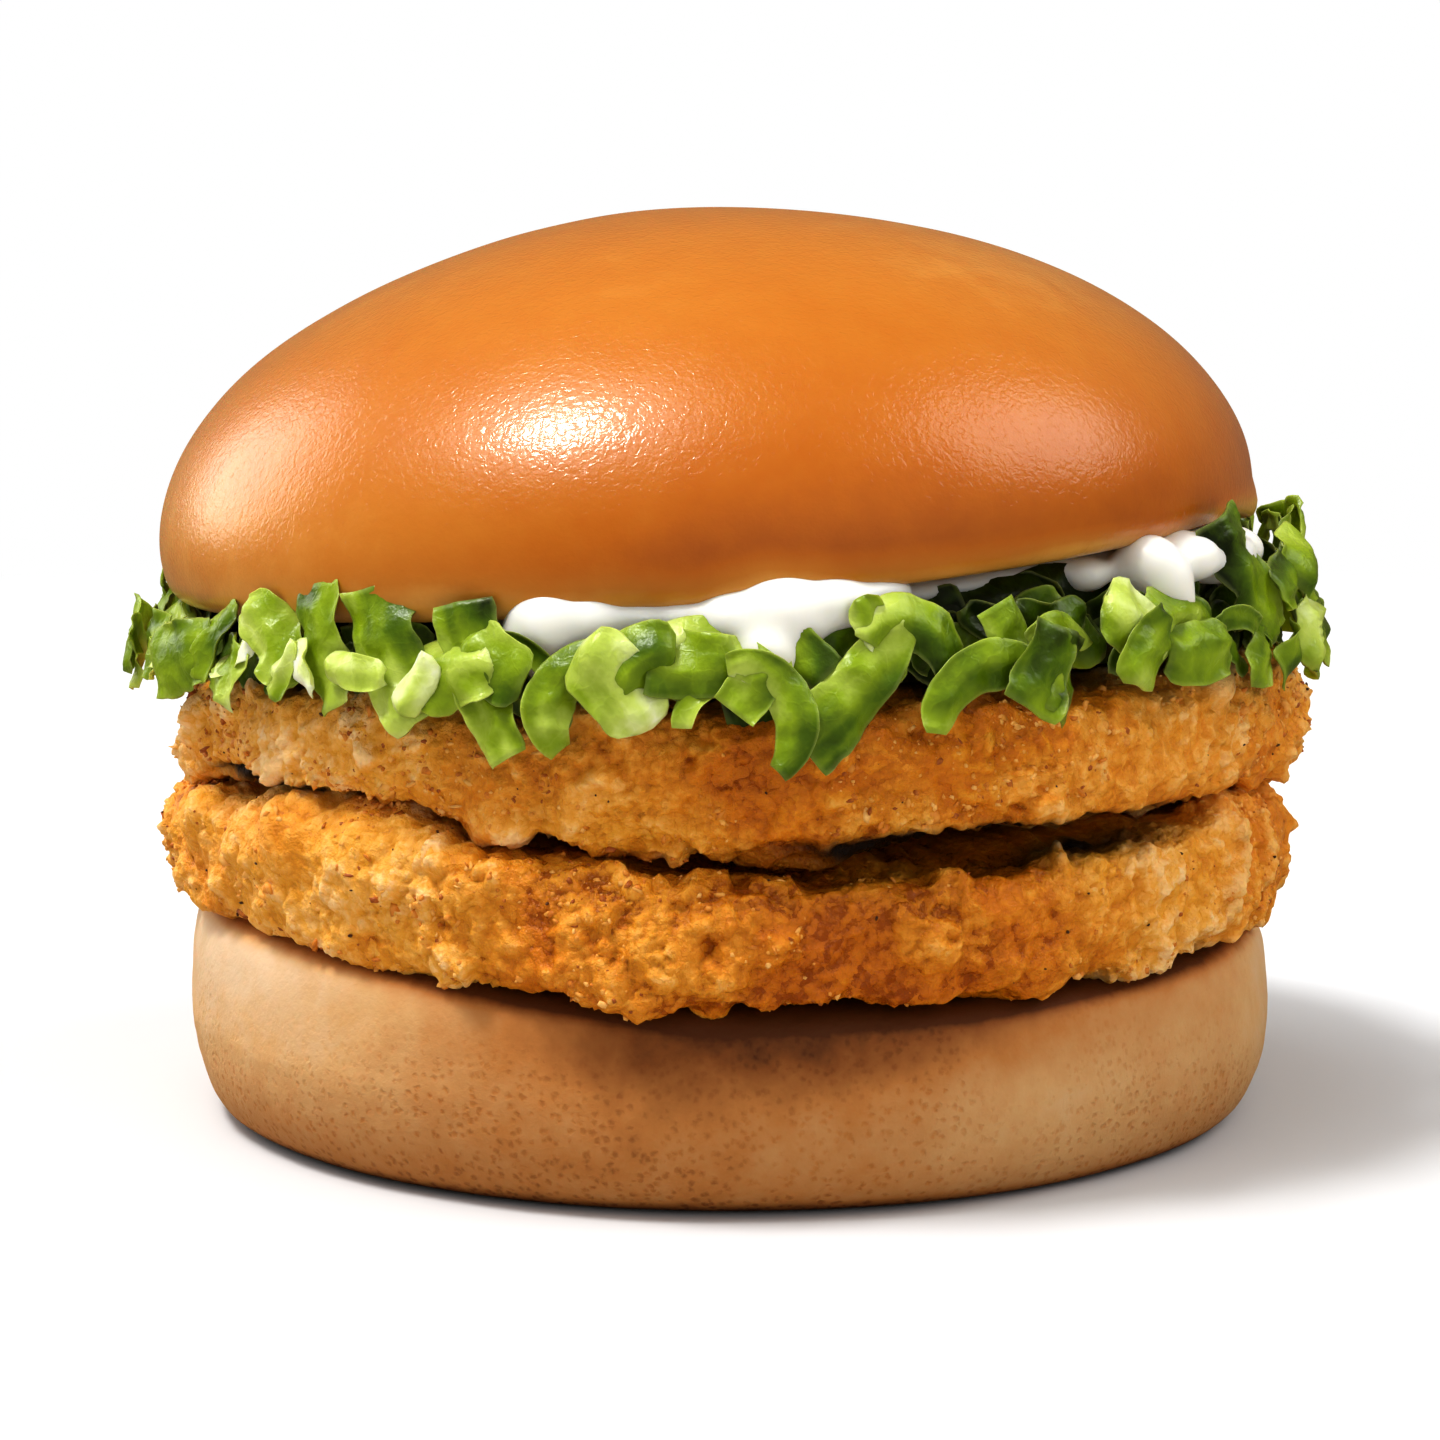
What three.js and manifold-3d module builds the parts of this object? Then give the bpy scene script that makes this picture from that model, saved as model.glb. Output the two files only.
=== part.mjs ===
// A double chicken burger: a soft bun cut in two, with two breaded chicken patties, shredded lettuce and
// mayonnaise between its halves. Millimetres, +Z up. The origin is the centre of the flat underside it
// stands on. A bearing is an angle in degrees round the burger: 0 faces -Y, and 90 faces +X.
import * as THREE from "three";
import { mergeVertices } from "three/addons/utils/BufferGeometryUtils.js";
import Module from "manifold-3d";

const wasm = await Module();
wasm.setup();

// Driving dimensions.
const GAP = 0.35; // air left between layers that touch
const FACETS = 48; // flats round each layer
const HEEL = { foot: 47.3, wide: 51, wideHeight: 9, rim: 50, height: 19.4, edge: 1.8 };
const HEEL_SLOPE = -0.027; // rise of the heel's top per mm towards +X, because the stack leans on it
const HEEL_DENT = { bearing: 10, spread: 45, depth: 1.5, from: 40 }; // where the patty presses its rim down
const CROWN = { rim: 50.6, wide: 51.1, wideHeight: 3.4, height: 31.5, edge: 1.3, fullness: 1.91, lean: -2.4 };
const CROWN_CENTRE = { x: -1.7, z: 52.4 }; // centre of the crown's cut face
const CROWN_TILT = 5.2; // degrees, its +X side up
const PATTY = { edge: 4.6, fullness: 3.2 }; // depth of a patty's side, and how blunt it is
const LOWER_PATTY = { x: -0.3, radius: 52.2, middle: 30.4 };
const UPPER_PATTY = { x: 0.5, radius: 51.8, middle: 43.2 };
const LETTUCE = { core: 48, floor: 41.2 }; // the heap's solid middle, and a height inside the upper patty

const radians = THREE.MathUtils.degToRad;
const point = (r, z) => new THREE.Vector2(r, z);

// A smooth swelling of height 1, centred on one bearing and spread over so many degrees.
function lobe(bearing, at, spread) {
  const away = ((bearing - at + 540) % 360) - 180;
  return Math.exp(-((away / spread) ** 2));
}

// The sum of lobes, each given as [bearing, spread, height].
const lobes = (bearing, list) =>
  list.reduce((sum, [at, spread, height]) => sum + height * lobe(bearing, at, spread), 0);

// An uneven wave round the burger, made of a few whole-number frequencies.
function wave(bearing, size, phase) {
  const turn = radians(bearing);
  const slow = 0.5 * Math.cos(3 * turn + phase) + 0.3 * Math.cos(5 * turn + 2.1 * phase);
  const quick = 0.35 * Math.cos(8 * turn + 3.3 * phase) + 0.25 * Math.cos(13 * turn + phase);
  return size * (slow + quick);
}

// The same surface with its shared vertices merged, so that it is one closed mesh.
function closed(geometry) {
  geometry.deleteAttribute("uv");
  geometry.deleteAttribute("normal");
  const merged = mergeVertices(geometry, 1e-4);
  merged.computeVertexNormals();
  return merged;
}

// A closed solid of revolution about +Z, with every vertex then moved by shape(bearing, r, z) -> [r, z].
function turned(profile, shape) {
  const geometry = new THREE.LatheGeometry(profile, FACETS).rotateX(Math.PI / 2);
  const at = geometry.getAttribute("position");
  for (let i = 0; i < at.count; i++) {
    const radius = Math.hypot(at.getX(i), at.getY(i));
    const turn = Math.atan2(at.getX(i), -at.getY(i));
    const [r, z] = shape(THREE.MathUtils.radToDeg(turn), radius, at.getZ(i));
    at.setXYZ(i, r * Math.sin(turn), -r * Math.cos(turn), z);
  }
  return closed(geometry);
}

// A copy of a closed surface that stands proud of it by a distance.
function grown(geometry, distance) {
  const copy = geometry.clone();
  const at = copy.getAttribute("position");
  const normal = copy.getAttribute("normal");
  const place = new THREE.Vector3();
  const outward = new THREE.Vector3();
  for (let i = 0; i < at.count; i++) {
    outward.fromBufferAttribute(normal, i);
    place.fromBufferAttribute(at, i).addScaledVector(outward, distance);
    at.setXYZ(i, place.x, place.y, place.z);
  }
  return copy;
}

function solid(geometry) {
  const vertProperties = geometry.getAttribute("position").array;
  const triVerts = new Uint32Array(geometry.index.array);
  return new wasm.Manifold(new wasm.Mesh({ numProp: 3, vertProperties, triVerts }));
}

function geometryOf(manifold) {
  const mesh = manifold.getMesh();
  const geometry = new THREE.BufferGeometry();
  geometry.setAttribute("position", new THREE.BufferAttribute(mesh.vertProperties, 3));
  geometry.setIndex(new THREE.BufferAttribute(mesh.triVerts, 1));
  geometry.computeVertexNormals();
  return geometry;
}

// The main body of a cut, without the slivers that a cut can leave.
const largest = (manifold) =>
  manifold.decompose().reduce((best, body) => (body.volume() > best.volume() ? body : best));

// Points of an oval about a centre, without its first point, which the outline already has. Its fullness is
// 2 for an ellipse and more for a blunter oval.
function oval(centre, rx, ry, from, to, steps, fullness = 2) {
  const full = (value) => Math.sign(value) * Math.abs(value) ** (2 / fullness);
  const unit = new THREE.EllipseCurve(0, 0, 1, 1, radians(from), radians(to), to < from).getPoints(steps);
  return unit.slice(1).map((p) => point(centre.x + rx * full(p.x), centre.y + ry * full(p.y)));
}

// Height of the heel's cut top at a bearing and a distance out.
function heelTop(bearing, r) {
  const dent = HEEL_DENT.depth * lobe(bearing, HEEL_DENT.bearing, HEEL_DENT.spread);
  const rise = HEEL_SLOPE * r * Math.sin(radians(bearing));
  return HEEL.height + rise - dent * THREE.MathUtils.smoothstep(r, HEEL_DENT.from, HEEL.rim);
}

// The bottom half of the bun: flat foot, bulging wall, and a cut top that leans with the stack.
function heelGeometry() {
  const { foot, wide, wideHeight, rim, height, edge } = HEEL;
  const profile = [
    point(0, 0),
    point(foot, 0),
    ...oval(point(foot, wideHeight), wide - foot, wideHeight, -90, 0, 4),
    point(0.3 * wide + 0.7 * rim + 0.3, 0.5 * (wideHeight + height)),
    point(rim, height - edge),
    ...oval(point(rim - edge, height - edge), edge, edge, 0, 90, 2),
    point(HEEL_DENT.from, height),
    point(0, height),
  ];
  return turned(profile, (bearing, r, z) => {
    const uneven = 0.005 * Math.cos(radians(2 * bearing + 40)) + wave(bearing, 0.002, 1);
    const out = r * (1 + uneven * Math.min(1, z / 4));
    return [out, (z * heelTop(bearing, out)) / height];
  });
}

// The top half of the bun in its own frame, cut face down at z = 0. Its dome leans a little to one side.
function crownGeometry() {
  const { rim, wide, wideHeight, height, edge, fullness, lean } = CROWN;
  const profile = [
    point(0, 0),
    point(rim - edge, 0),
    point(rim, edge * 0.6),
    point(wide, wideHeight),
    ...oval(point(0, wideHeight), wide, height - wideHeight, 0, 90, 9, fullness),
  ];
  const dome = turned(profile, (bearing, r, z) => {
    const uneven = 0.003 * Math.cos(radians(2 * bearing - 30)) + wave(bearing, 0.0015, 2);
    return [r * (1 + uneven), z];
  });
  const leaning = new THREE.Matrix4().set(1, 0, lean / height, 0, 0, 1, 0, 0, 0, 0, 1, 0, 0, 0, 0, 1);
  return dome.applyMatrix4(leaning);
}

// The crown's place on the stack, and the height of its cut face at x.
const crownPlace = new THREE.Matrix4().makeRotationY(-radians(CROWN_TILT));
crownPlace.setPosition(CROWN_CENTRE.x, 0, CROWN_CENTRE.z);
const crownCut = (x) => CROWN_CENTRE.z + Math.tan(radians(CROWN_TILT)) * (x - CROWN_CENTRE.x);

// A patty's rim at a bearing: how far out it reaches, and how high its underside and its top are there.
const lowerOut = [[-76, 9, 1], [-57, 7, -1], [-4, 14, 1], [20, 14, 0.5], [70, 14, 0.5], [150, 20, 1]];
const lowerUnderRim = [[-50, 35, 1.3], [0, 24, -1.5], [32, 26, -1.1], [75, 25, -0.5], [160, 40, 0.5]];
const lowerOverRim = [[-41, 13, 3], [-70, 14, 1.4], [-18, 14, 0.7], [18, 20, -1.6], [62, 14, 1], [150, 40, 1]];
const lowerRim = (bearing) => ({
  radius: LOWER_PATTY.radius + wave(bearing, 0.9, 0.6) + lobes(bearing, lowerOut),
  under: 19.2 + lobes(bearing, lowerUnderRim),
  over: 30.4 + lobes(bearing, lowerOverRim),
});
const upperOut = [[80, 12, 0.8], [-35, 14, 0.7], [15, 18, 0.5], [-100, 20, -0.4], [170, 30, 0.8]];
const upperUnderRim = [[-48, 17, 2.5], [-74, 14, 0.6], [10, 9, -1.2], [55, 16, 0.3], [150, 40, 1.6]];
const upperOverRim = [[-40, 12, 0.8], [-85, 20, -1], [16, 14, 0.8], [40, 12, 0.7], [90, 20, -0.6]];
const upperRim = (bearing) => ({
  radius: UPPER_PATTY.radius + wave(bearing, 0.8, 4.1) + lobes(bearing, upperOut),
  under: 31.2 + lobes(bearing, upperUnderRim),
  over: 43.5 + lobes(bearing, upperOverRim),
});

// Height across a layer: level at the middle, and the rim's own height from 85% of the way out.
const across = (share, middle, rim) =>
  THREE.MathUtils.lerp(middle, rim, THREE.MathUtils.smoothstep(share, 0.4, 0.85));

// Undersides and tops of the two patties, at a bearing and a share of the way out. The lower one lies on the
// heel and droops only past the heel's wall. The upper one lies on the lower one.
function lowerUnder(bearing, share) {
  const { radius, under } = lowerRim(bearing);
  const out = share * radius + LOWER_PATTY.x * Math.sin(radians(bearing));
  return out > HEEL.wide ? under : Math.max(under, heelTop(bearing, out) + GAP);
}
const lowerOver = (bearing, share) => across(share, LOWER_PATTY.middle, lowerRim(bearing).over);
function upperUnder(bearing, share) {
  const own = across(share, LOWER_PATTY.middle, upperRim(bearing).under);
  return Math.max(own, lowerOver(bearing, share) + 1.4 * GAP);
}
const upperOver = (bearing, share) => across(share, UPPER_PATTY.middle, upperRim(bearing).over);

// A breaded patty: a thick uneven disc with a blunt, rounded side.
function pattyGeometry({ x, radius }, rimAt, under, over) {
  const inner = 1 - PATTY.edge / radius;
  const profile = [
    point(0, -1),
    point(inner * 0.5, -1),
    point(inner * 0.85, -1),
    point(inner, -1),
    ...oval(point(inner, 0), 1 - inner, 1, -90, 90, 7, PATTY.fullness),
    point(inner * 0.85, 1),
    point(inner * 0.5, 1),
    point(0, 1),
  ];
  const made = turned(profile, (bearing, share, side) => {
    const high = THREE.MathUtils.lerp(under(bearing, share), over(bearing, share), (side + 1) / 2);
    return [share * rimAt(bearing).radius, high];
  });
  return made.translate(x, 0, 0);
}

// One swelling or drip of mayonnaise: an egg given by its centre's bearing, distance out and height, and by
// its half-sizes across, in and out, and up, with a margin added to them.
function dollop([bearing, out, z, wide, deep, high], margin) {
  const egg = new THREE.SphereGeometry(1, 8, 6).rotateX(Math.PI / 2);
  egg.scale(wide + margin, deep + margin, high + margin);
  const turn = radians(bearing);
  egg.rotateZ(turn).translate(out * Math.sin(turn), -out * Math.cos(turn), z);
  return solid(closed(egg));
}
const DOLLOPS = [
  [-18.5, 48.5, 50.0, 3.7, 4.0, 3.6],
  [-21.5, 49.0, 48.4, 1.9, 2.6, 2.6],
  [-13.0, 47.5, 51.0, 5.5, 4.0, 2.0],
  [-6.0, 47.5, 51.4, 6.5, 3.6, 1.4],
  [4.0, 48.5, 51.2, 6.0, 4.2, 3.0],
  [3.0, 50.6, 48.9, 2.7, 2.3, 3.4],
  [12.0, 47.0, 52.9, 5.5, 3.0, 1.5],
  [43.0, 47.0, 54.1, 4.5, 3.0, 1.5],
  [48.5, 49.8, 52.9, 2.6, 2.6, 3.8],
  [58.0, 48.5, 54.2, 6.5, 3.8, 2.5],
  [66.0, 48.8, 53.4, 3.2, 3.2, 2.3],
  [128.0, 46.0, 53.4, 7.0, 5.0, 2.6],
  [132.0, 49.4, 51.9, 2.6, 2.3, 3.2],
  [182.0, 47.8, 50.6, 8.0, 4.0, 2.4],
  [176.0, 49.8, 48.8, 2.2, 2.2, 2.7],
  [-112.0, 47.6, 48.0, 6.0, 3.8, 2.0],
];

// The mayonnaise: a film pressed flat under the crown, which swells out past the rim in a few places. A
// margin makes it stand proud of its true surface, as a cutter for what lies against it.
function mayonnaiseSolid(margin = 0) {
  const rim = oval(point(44, -0.9), 2, 1.1, -70, 90, 3);
  const profile = [point(0, -2.2), point(40, -2.2), ...rim, point(0, 0.6)];
  const film = turned(profile, (bearing, r, z) => [r * (1 + wave(bearing, 0.03, 3)), z]);
  const inPlace = grown(film.applyMatrix4(crownPlace), margin);
  return DOLLOPS.reduce((sum, one) => sum.add(dollop(one, margin)), solid(inPlace));
}

// How far out the heap of lettuce reaches, how low its skirt hangs and how high it stands at a bearing.
const heapOut = [[-88, 14, 5.2], [82, 13, 6.2], [60, 10, 1], [160, 24, 2.6], [-150, 18, 2.4], [118, 12, 2.2]];
const heapLow = [[-27, 6, 3], [1, 6, 4.4], [82, 12, 2.6], [-86, 14, 2.2], [150, 14, 2.4], [-140, 16, 2]];
const heapHigh = [[-60, 26, 1.6], [20, 22, 4.2], [70, 34, 6.2], [128, 30, 5.5], [180, 30, 2.6]];
const heap = (bearing) => ({
  out: 52.2 + wave(bearing, 1.3, 5) + lobes(bearing, heapOut),
  low: 42.6 + wave(bearing, 0.6, 2) - lobes(bearing, heapLow),
  high: 47.6 + wave(bearing, 0.8, 1) + lobes(bearing, heapHigh),
});

// The heap of shredded lettuce out to its uneven outline, before what lies against it is cut away.
function heapSolid() {
  const { core, floor } = LETTUCE;
  const edge = oval(point(core, 0), 1, 1, -90, 90, 5);
  const profile = [point(0, -1), point(core - 2, -1), ...edge, point(core - 2, 1), point(0, 1)];
  const heaped = turned(profile, (bearing, r, side) => {
    const { out, low, high } = heap(bearing);
    const skirt = r > core - 1;
    const reach = skirt ? THREE.MathUtils.lerp(core, out, r - core) : r;
    const under = skirt ? low : floor;
    const over = skirt ? high : crownCut(r * Math.sin(radians(bearing))) + 0.8;
    return [reach, THREE.MathUtils.lerp(under, over, (side + 1) / 2)];
  });
  return solid(heaped);
}

const material = (color, roughness) => new THREE.MeshStandardMaterial({ color, roughness, metalness: 0 });

function layer(name, geometry, finish) {
  const mesh = new THREE.Mesh(geometry, finish);
  mesh.name = name;
  return mesh;
}

const glazedCrust = material("#c8762f", 0.38);
const paleCrust = material("#c79a68", 0.7);
const breading = material("#c07a2c", 0.65);
const leaf = material("#7ba428", 0.45);
const sauce = material("#f2efe6", 0.25);

const lowerPatty = pattyGeometry(LOWER_PATTY, lowerRim, lowerUnder, lowerOver);
const upperPatty = pattyGeometry(UPPER_PATTY, upperRim, upperUnder, upperOver);
const crown = crownGeometry().applyMatrix4(crownPlace);
const cutBy = (whole, cutters) => cutters.reduce((left, cutter) => left.subtract(cutter), whole);
const neighbours = [crown, upperPatty].map((neighbour) => solid(grown(neighbour, GAP)));
const mayonnaise = cutBy(mayonnaiseSolid(), neighbours);
const lettuce = largest(cutBy(heapSolid(), [...neighbours, mayonnaiseSolid(GAP)]));

const burger = new THREE.Group();
burger.add(layer("heel", heelGeometry(), paleCrust));
burger.add(layer("patty_lower", lowerPatty, breading));
burger.add(layer("patty_upper", upperPatty, breading));
burger.add(layer("lettuce", geometryOf(lettuce), leaf));
burger.add(layer("mayonnaise", geometryOf(mayonnaise), sauce));
burger.add(layer("crown", crown, glazedCrust));

export default burger;
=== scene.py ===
# A double chicken burger, put together from the plate up: a soft bun's heel, two breaded chicken patties,
# shredded iceberg lettuce, mayonnaise and the bun's glazed crown. Lengths are millimetres until a mesh is
# made. A bearing is an angle round the burger in degrees: 0 faces -Y, and 90 faces +X.
import itertools

import bpy
import numpy as np
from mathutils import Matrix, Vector
from mathutils.bvhtree import BVHTree


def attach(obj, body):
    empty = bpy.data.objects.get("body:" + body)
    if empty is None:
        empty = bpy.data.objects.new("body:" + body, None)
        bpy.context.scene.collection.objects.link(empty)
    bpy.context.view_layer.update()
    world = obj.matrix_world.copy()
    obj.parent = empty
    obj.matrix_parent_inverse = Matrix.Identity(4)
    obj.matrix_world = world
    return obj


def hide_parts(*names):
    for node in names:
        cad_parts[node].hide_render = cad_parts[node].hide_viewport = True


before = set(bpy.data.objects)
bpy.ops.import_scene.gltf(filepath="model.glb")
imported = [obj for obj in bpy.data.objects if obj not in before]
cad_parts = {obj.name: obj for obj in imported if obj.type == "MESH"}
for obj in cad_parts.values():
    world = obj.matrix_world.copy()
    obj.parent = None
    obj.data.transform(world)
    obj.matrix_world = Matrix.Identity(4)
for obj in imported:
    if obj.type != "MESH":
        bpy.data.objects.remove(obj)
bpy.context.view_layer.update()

# ---- The heel ----
# The bottom half of the bun: soft white bread in a thin matt crust, tan low down where it coloured against
# the tin, cream higher up. At the front it is painted darker as shade under the patty, with a painted shadow
# line where the patty lies on it. Fine pores pit the wall, most of them low down.
MM = 0.001
FLATS = 48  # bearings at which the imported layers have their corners
LEVELS = {"patty_lower": 25.4, "patty_upper": 38.0}  # a height inside each patty
LATTICE = 40  # cells before a random pattern repeats
AFAR = 1000.5  # cells added to a position, so that none is below zero


def on_ring(bearing, out, height):
    """Points that lie so far out and so high at bearings in degrees."""
    turn = np.radians(bearing)
    return np.stack(np.broadcast_arrays(out * np.sin(turn), -out * np.cos(turn), height), -1)


def skin(node, reach, level, rows, columns):
    """A layer's surface as rings of points, from the middle of its underside round its rim to its top.

    Each ring is met by straight lines from a flat disc inside the layer: down, then fanning out, then up.
    """
    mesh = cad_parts[node].data
    tree = BVHTree.FromPolygons([v.co for v in mesh.vertices], [p.vertices for p in mesh.polygons])
    inside, rim = rows
    inward = np.linspace(0.04, 1, inside) * reach
    start = np.concatenate([inward, np.full(rim, reach), inward[::-1]])
    lean = np.concatenate([np.full(inside, -90), np.linspace(-90, 90, rim + 2)[1:-1], np.full(inside, 90)])
    found = np.zeros((len(start), FLATS, 3))
    for column, bearing in enumerate(np.arange(FLATS) * 360 / FLATS):
        begin = on_ring(bearing, start, level) * MM
        ahead = on_ring(bearing, np.cos(np.radians(lean)), np.sin(np.radians(lean)))
        for row in range(len(start)):
            hit = tree.ray_cast(Vector(begin[row]), Vector(ahead[row]))[0]
            found[row, column] = np.array(hit) / MM
    return np.fft.irfft(np.fft.rfft(found, axis=1), columns, axis=1) * columns / FLATS


def eased(rings, passes):
    """The rings with every corner along the profile softened."""
    for _ in range(passes):
        rings[1:-1] = 0.25 * rings[:-2] + 0.5 * rings[1:-1] + 0.25 * rings[2:]
    return rings


def cloud(points, size, seed):
    """Smooth random values from -1 to 1 at points, in soft patches of about one size."""
    lattice = np.random.default_rng(seed).uniform(-1, 1, (LATTICE,) * 3)
    at = points / size + AFAR
    cell = np.floor(at).astype(int)
    part = at - cell
    part = part * part * (3 - 2 * part)
    total = np.zeros(points.shape[:-1])
    for corner in itertools.product((0, 1), repeat=3):
        weight = np.prod(np.where(corner, part, 1 - part), axis=-1)
        i, j, k = np.moveaxis((cell + corner) % LATTICE, -1, 0)
        total += weight * lattice[i, j, k]
    return total


def outward(rings):
    """The unit normal at each point of closed rings."""
    along = np.gradient(rings, axis=0)
    around = np.roll(rings, -1, axis=1) - np.roll(rings, 1, axis=1)
    normal = np.cross(around, along)
    return normal / np.linalg.norm(normal, axis=-1, keepdims=True).clip(1e-9)


def ring_faces(rows, columns):
    """Quads between closed rings of points, with a fan to one middle point at each end."""
    here = np.arange(rows * columns).reshape(rows, columns)
    beside = np.roll(here, -1, axis=1)
    quads = np.stack([here[:-1], beside[:-1], beside[1:], here[1:]], -1).reshape(-1, 4)
    under, over = rows * columns, rows * columns + 1
    faces = quads.tolist()
    faces += [[under, int(b), int(a)] for a, b in zip(here[0], beside[0])]
    faces += [[over, int(a), int(b)] for a, b in zip(here[-1], beside[-1])]
    return faces


def piece(name, points, faces, material, slot, stands_for=(), **painted):
    """A smooth mesh piece in metres. Painted values are kept on its points, for its material to read."""
    mesh = bpy.data.meshes.new(name)
    mesh.from_pydata((points * MM).tolist(), [], faces)
    for label, values in painted.items():
        layer = mesh.attributes.new(label, "FLOAT", "POINT")
        layer.data.foreach_set("value", np.asarray(values, np.float32).ravel())
    mesh.shade_smooth()
    mesh.materials.append(material)
    made = bpy.data.objects.new(name, mesh)
    bpy.context.collection.objects.link(made)
    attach(made, "root")
    if stands_for:
        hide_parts(*stands_for)
    return made


def layer_piece(name, rings, material, slot, node, **painted):
    """A closed layer made of rings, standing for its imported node."""
    points = np.concatenate([rings.reshape(-1, 3), rings[[0, -1]].mean(axis=1)])
    values = {label: np.append(v.ravel(), [v[0].mean(), v[-1].mean()]) for label, v in painted.items()}
    faces = ring_faces(*rings.shape[:2])
    return piece(name, points, faces, material, slot, [node], **values)


def linear(hex_colour):
    """An sRGB hex colour as the linear RGBA that a shader takes."""
    srgb = np.array([int(hex_colour[i : i + 2], 16) for i in (1, 3, 5)]) / 255
    return (*np.where(srgb <= 0.04045, srgb / 12.92, ((srgb + 0.055) / 1.055) ** 2.4), 1)


def add(material, kind, settings={}, **links):
    """A node of one kind. Settings are its properties, or sockets by name or number; links feed sockets."""
    node = material.node_tree.nodes.new("ShaderNode" + kind)
    for key, value in settings.items():
        if isinstance(key, int) or key in node.inputs:
            node.inputs[key].default_value = value
        else:
            setattr(node, key, value)
    for key, source in links.items():
        socket = node.inputs[int(key[1:]) if key[0] == "i" and key[1:].isdigit() else key.replace("_", " ")]
        material.node_tree.links.new(source, socket)
    return node


def noise(material, place, size, detail=2, roughness=0.5, **more):
    """A noise texture in soft patches of about size mm."""
    settings = {"Scale": 1 / (size * MM), "Detail": detail, "Roughness": roughness, **more}
    return add(material, "TexNoise", settings, Vector=place)


def times_plus(material, value, factor, more):
    """value * factor + more, where more is a number or another node's output."""
    settings = {"operation": "MULTIPLY_ADD", 1: factor}
    if isinstance(more, (int, float)):
        return add(material, "Math", {**settings, 2: more}, i0=value)
    return add(material, "Math", settings, i0=value, i2=more)


def jostled(material, place, pushes, reach):
    """Positions pushed about by a noise texture, up to reach mm, so that a pattern drawn there wanders."""
    settings = {"operation": "MULTIPLY_ADD", 1: (reach * MM,) * 3}
    return add(material, "VectorMath", settings, i0=pushes.outputs["Color"], i2=place).outputs[0]


def finish(name):
    """A new material, empty but for its output."""
    material = bpy.data.materials.new(name)
    material.use_nodes = True
    material.node_tree.nodes.clear()
    add(material, "OutputMaterial")
    return material


def shaded_by(material, shader):
    """Lead a shader to the output of a material, or of the world."""
    output = material.node_tree.nodes[0]
    material.node_tree.links.new(shader.outputs[0], output.inputs["Surface"])


def ramp(material, value, stops):
    """A colour ramp: stops are (position, hex colour)."""
    node = add(material, "ValToRGB", Fac=value)
    band = node.color_ramp.elements
    while len(band) < len(stops):
        band.new(0.5)
    for element, (position, colour) in zip(band, stops):
        element.position = position
        element.color = linear(colour)
    return node.outputs["Color"]


# Pale crust: a dry, matt skin of baked flour. It scatters light just under the surface, which keeps its
# shadows soft, and fine pores and a floury grain break up what little shine it has.
pale_crust = finish("pale_baked_crust")
place = add(pale_crust, "TexCoord").outputs["Object"]
browned = add(pale_crust, "Attribute", {"attribute_name": "browned"}).outputs["Fac"]
mottle = noise(pale_crust, place, 3.5, 4, 0.6)
uneven = times_plus(pale_crust, mottle.outputs["Fac"], 0.34, -0.17)
tone = add(pale_crust, "Math", {"operation": "ADD"}, i0=browned, i1=uneven.outputs[0])
grain = noise(pale_crust, place, 0.7, 5, 0.65)
bent = jostled(pale_crust, place, grain, 0.9)
holes = add(pale_crust, "TexVoronoi", {"Scale": 1 / (0.85 * MM)}, Vector=bent)
depth = add(
    pale_crust,
    "MapRange",
    {"interpolation_type": "SMOOTHSTEP", "From Min": 0.1, "From Max": 0.5, "To Min": 1.0, "To Max": 0.0},
    Value=holes.outputs["Distance"],
)
low = add(pale_crust, "Attribute", {"attribute_name": "porous"}).outputs["Fac"]
pores = add(pale_crust, "Math", {"operation": "MULTIPLY"}, i0=depth.outputs[0], i1=low).outputs[0]
pitted = times_plus(pale_crust, pores, 0.15, tone.outputs[0])
bread = ramp(
    pale_crust,
    pitted.outputs[0],
    [(0.0, "#D0B492"), (0.3, "#CAA06C"), (0.6, "#BA7E40"), (0.85, "#8E541E"), (1.0, "#603208")],
)
sunk = times_plus(pale_crust, pores, -0.7, grain.outputs["Fac"])
bump = add(pale_crust, "Bump", {"Strength": 0.6, "Distance": 0.2 * MM}, Height=sunk.outputs[0])
bare = add(
    pale_crust,
    "BsdfPrincipled",
    {"Roughness": 0.66, "Specular IOR Level": 0.3, "Subsurface Weight": 0.2, "Subsurface Scale": 1.2 * MM},
    Base_Color=bread,
    Normal=bump.outputs[0],
)
shaded_by(pale_crust, bare)

heel = eased(skin("heel", 42, 9.5, rows=(5, 76), columns=400), 12)
height = heel[..., 2]
heel[..., :2] *= 1 + 0.013 * np.clip(height / 10, 0, 1)[..., None]
standing = np.clip(height / 4, 0, 1)
dents = 0.35 * cloud(heel, 14, 1) + 0.10 * cloud(heel, 3.5, 2) + 0.05 * cloud(heel, 1.3, 3)
heel += outward(heel) * (dents * standing)[..., None]
left_rim = np.exp(-(((heel[..., 0] + 40) / 22) ** 2) - ((height - 14.5) / 8) ** 2)
tan_and_painted_shade = 0.6 - 0.018 * height + 0.22 * cloud(heel, 17, 4) - 0.19 * left_rim
tan_and_painted_shade += 0.5 * np.clip(1 - height / 1.6, 0, 1)
# Painted shade: the crust is painted darker at the front, under the patty's overhang.
painted_patty_shade = np.exp(-(((heel[..., 0] - 5) / 30) ** 2) - ((height - 16) / 5) ** 2) * (heel[..., 1] < 0)
tan_and_painted_shade += 0.6 * painted_patty_shade - 0.12 * np.clip(abs(heel[..., 0]) / 30 - 0.6, 0, 1)
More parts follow.
